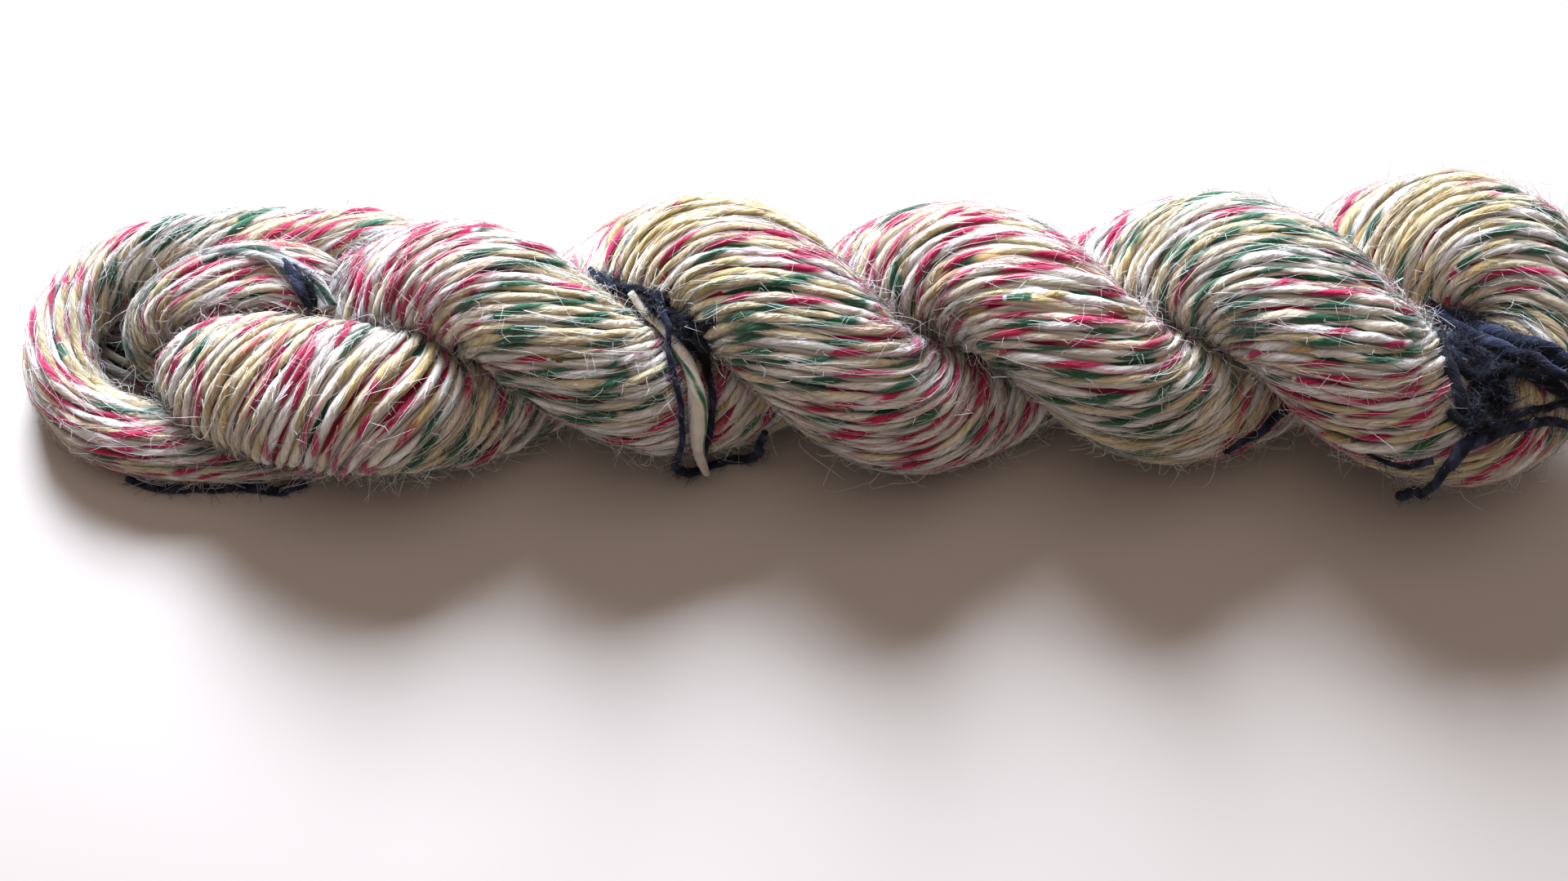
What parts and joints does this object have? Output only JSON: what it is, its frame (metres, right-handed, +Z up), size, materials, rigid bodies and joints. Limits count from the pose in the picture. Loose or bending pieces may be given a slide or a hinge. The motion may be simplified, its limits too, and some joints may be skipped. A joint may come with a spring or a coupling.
{
  "type": "yarn_skein",
  "caption": "Twisted skein of marled hand-spun wool lying on its side, one end looped through the other, with dark wool ties and a loose cream end.",
  "frame": {"origin": "on the surface the skein lies on, below the middle of its length and of its width", "axes": "+X along the skein from its ring towards its plain fold, +Y across the skein away from the side with the ties, +Z up from the surface it lies on"},
  "size_m": [0.3716, 0.0811, 0.0631],
  "materials": {
    "marled_wool": "fuzzy marled wool in cream, crimson, green and ochre",
    "cream_wool": "fuzzy cream wool with a green ply",
    "navy_wool": "fuzzy dark navy wool"
  },
  "bodies": {
    "root": {"hank": "marled_wool", "yarn_end": "cream_wool", "tie_left_knot": "navy_wool", "tie_left_tail": "navy_wool", "tie_middle_crease": "navy_wool", "tie_middle_left": "navy_wool", "tie_middle_right": "navy_wool", "tie_lower_right": "navy_wool", "tie_end_upper": "navy_wool", "tie_end_middle": "navy_wool", "tie_end_lower": "navy_wool", "tie_end_side": "navy_wool"}
  },
  "joints": []
}
